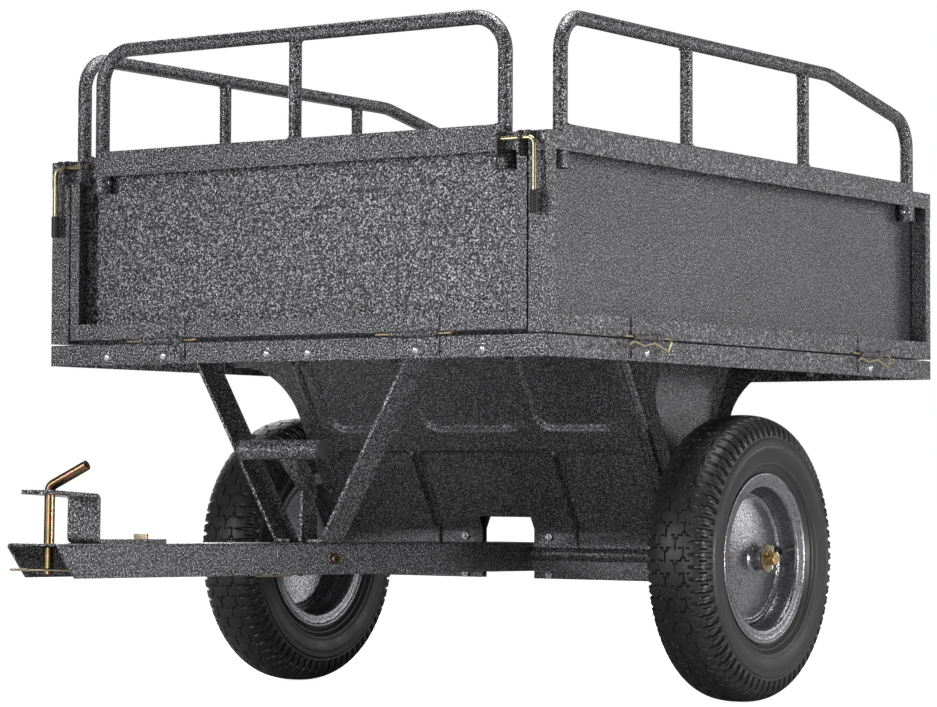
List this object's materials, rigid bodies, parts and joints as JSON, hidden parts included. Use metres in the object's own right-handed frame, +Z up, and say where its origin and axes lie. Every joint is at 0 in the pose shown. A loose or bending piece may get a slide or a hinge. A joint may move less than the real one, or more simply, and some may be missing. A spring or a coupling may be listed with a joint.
{
  "type": "tow behind cart",
  "caption": "Steel tow-behind dump cart with fold-down gates, lift-off side hoops, V-shaped trough bed, pneumatic wheels and a pin-hitch drawbar with foot tipping lever.",
  "frame": {"origin": "on the ground at the centre of the cart's plan outline, between the two wheels; the axle is 254 mm behind it", "axes": "+X towards the cart's left side, -Y towards the towing end, +Z up"},
  "size_m": [0.894, 1.6644, 0.928],
  "materials": {
    "powder_coat_speckled": "hammertone, semi-gloss",
    "rim_hammertone": "hammertone, glossy",
    "zinc_bright": "bright zinc",
    "zinc_yellow": "yellow chromate zinc",
    "zinc_copper": "iridescent chromate zinc",
    "steel_axle": "turned",
    "tyre_rubber": "matte",
    "black_rubber": "satin",
    "black_plastic": "satin",
    "bush_plastic": "satin"
  },
  "bodies": {
    "drawbar": {"drawbar_channel": "powder_coat_speckled", "hitch_strap": "powder_coat_speckled", "hitch_strap_bolt": "zinc_bright", "lever_pivot_bolt": "zinc_copper", "lever_return_spring": "zinc_yellow"},
    "hitch_pin_body": {"hitch_pin": "zinc_copper", "hitch_pin_clip": "zinc_yellow"},
    "lever": {"tipping_lever": "powder_coat_speckled", "lever_pedal_tube": "powder_coat_speckled", "lever_pedal_end_caps": "black_plastic"},
    "bed": {"left_bed_rail": "powder_coat_speckled", "right_bed_rail": "powder_coat_speckled", "front_rail_left_half": "powder_coat_speckled", "front_rail_right_half": "powder_coat_speckled", "rear_rail_left_half": "powder_coat_speckled", "rear_rail_right_half": "powder_coat_speckled", "front_bed_sheet": "powder_coat_speckled", "rear_bed_sheet": "powder_coat_speckled", "trough_side_left": "powder_coat_speckled", "trough_side_right": "powder_coat_speckled", "trough_floor_strip": "powder_coat_speckled", "trough_stiffening_ribs": "powder_coat_speckled", "bed_prop_strut": "powder_coat_speckled", "bed_hinge_leaves": "powder_coat_speckled", "gate_hinge_clips": "zinc_yellow", "bed_rail_bolts": "zinc_bright", "axle": "steel_axle", "axle_clamp_bolts": "zinc_bright", "axle_washers": "zinc_yellow", "axle_cotter_pins": "zinc_yellow"},
    "left_wheel": {"left_tyre": "tyre_rubber", "left_rim": "rim_hammertone", "left_wheel_bushes": "bush_plastic", "left_valve_stem": "black_rubber"},
    "right_wheel": {"right_tyre": "tyre_rubber", "right_rim": "rim_hammertone", "right_wheel_bushes": "bush_plastic", "right_valve_stem": "black_rubber"},
    "front_gate_body": {"front_gate": "powder_coat_speckled", "front_gate_hinge_leaves": "powder_coat_speckled", "front_hoop_set_screws": "zinc_bright"},
    "rear_gate_body": {"rear_gate": "powder_coat_speckled", "rear_gate_hinge_leaves": "powder_coat_speckled"},
    "left_gate_body": {"left_gate": "powder_coat_speckled", "left_gate_hinge_leaves": "powder_coat_speckled", "left_hoop_set_screws": "zinc_bright"},
    "right_gate_body": {"right_gate": "powder_coat_speckled", "right_gate_hinge_leaves": "powder_coat_speckled", "right_hoop_set_screws": "zinc_bright"},
    "front_hoop_body": {"front_hoop": "powder_coat_speckled", "front_hoop_foot_bar": "powder_coat_speckled"},
    "left_hoop_body": {"left_hoop": "powder_coat_speckled", "left_hoop_foot_bar": "powder_coat_speckled"},
    "right_hoop_body": {"right_hoop": "powder_coat_speckled", "right_hoop_foot_bar": "powder_coat_speckled"},
    "latch_front_left": {"latch_rod_front_left": "zinc_yellow", "latch_grip_front_left": "black_rubber"},
    "latch_front_right": {"latch_rod_front_right": "zinc_yellow", "latch_grip_front_right": "black_rubber"},
    "latch_rear_left": {"latch_rod_rear_left": "zinc_yellow", "latch_grip_rear_left": "black_rubber"},
    "latch_rear_right": {"latch_rod_rear_right": "zinc_yellow", "latch_grip_rear_right": "black_rubber"}
  },
  "joints": [
    {"name": "bed_tip", "type": "hinge", "parent": "drawbar", "child": "bed", "pos_m": [0, 0.25374, 0.203], "axis": [-1, 0, 0], "range_deg": [0, 40]},
    {"name": "left_wheel_spin", "type": "hinge", "parent": "bed", "child": "left_wheel", "pos_m": [0.391, 0.25374, 0.203], "axis": [1, 0, 0], "continuous": true},
    {"name": "right_wheel_spin", "type": "hinge", "parent": "bed", "child": "right_wheel", "pos_m": [-0.391, 0.25374, 0.203], "axis": [1, 0, 0], "continuous": true},
    {"name": "front_gate_fold", "type": "hinge", "parent": "bed", "child": "front_gate_body", "pos_m": [0, -0.30876, 0.5035], "axis": [1, 0, 0], "range_deg": [0, 90]},
    {"name": "rear_gate_fold", "type": "hinge", "parent": "bed", "child": "rear_gate_body", "pos_m": [0, 0.81624, 0.5035], "axis": [-1, 0, 0], "range_deg": [0, 140]},
    {"name": "left_gate_fold", "type": "hinge", "parent": "bed", "child": "left_gate_body", "pos_m": [0.4245, 0.25374, 0.5035], "axis": [0, 1, 0], "range_deg": [0, 90]},
    {"name": "right_gate_fold", "type": "hinge", "parent": "bed", "child": "right_gate_body", "pos_m": [-0.4245, 0.25374, 0.5035], "axis": [0, -1, 0], "range_deg": [0, 90]},
    {"name": "front_hoop_lift", "type": "slide", "parent": "front_gate_body", "child": "front_hoop_body", "axis": [0, 0, 1], "range_m": [0, 0.044]},
    {"name": "left_hoop_lift", "type": "slide", "parent": "left_gate_body", "child": "left_hoop_body", "axis": [0, 0, 1], "range_m": [0, 0.044]},
    {"name": "right_hoop_lift", "type": "slide", "parent": "right_gate_body", "child": "right_hoop_body", "axis": [0, 0, 1], "range_m": [0, 0.044]},
    {"name": "lever_press", "type": "hinge", "parent": "drawbar", "child": "lever", "pos_m": [0, -0.24967, 0.20504], "axis": [1, 0, 0], "range_deg": [0, 15], "stiffness_Nm_per_rad": 6, "springref_deg": -17.19},
    {"name": "hitch_pin_lift", "type": "slide", "parent": "drawbar", "child": "hitch_pin_body", "axis": [0, 0.0124, 0.9999], "range_m": [0, 0.025]},
    {"name": "latch_front_left_slide", "type": "slide", "parent": "front_gate_body", "child": "latch_front_left", "axis": [-1, 0, 0], "range_m": [0, 0.012]},
    {"name": "latch_front_right_slide", "type": "slide", "parent": "front_gate_body", "child": "latch_front_right", "axis": [1, 0, 0], "range_m": [0, 0.012]},
    {"name": "latch_rear_left_slide", "type": "slide", "parent": "rear_gate_body", "child": "latch_rear_left", "axis": [-1, 0, 0], "range_m": [0, 0.012]},
    {"name": "latch_rear_right_slide", "type": "slide", "parent": "rear_gate_body", "child": "latch_rear_right", "axis": [1, 0, 0], "range_m": [0, 0.012]}
  ]
}
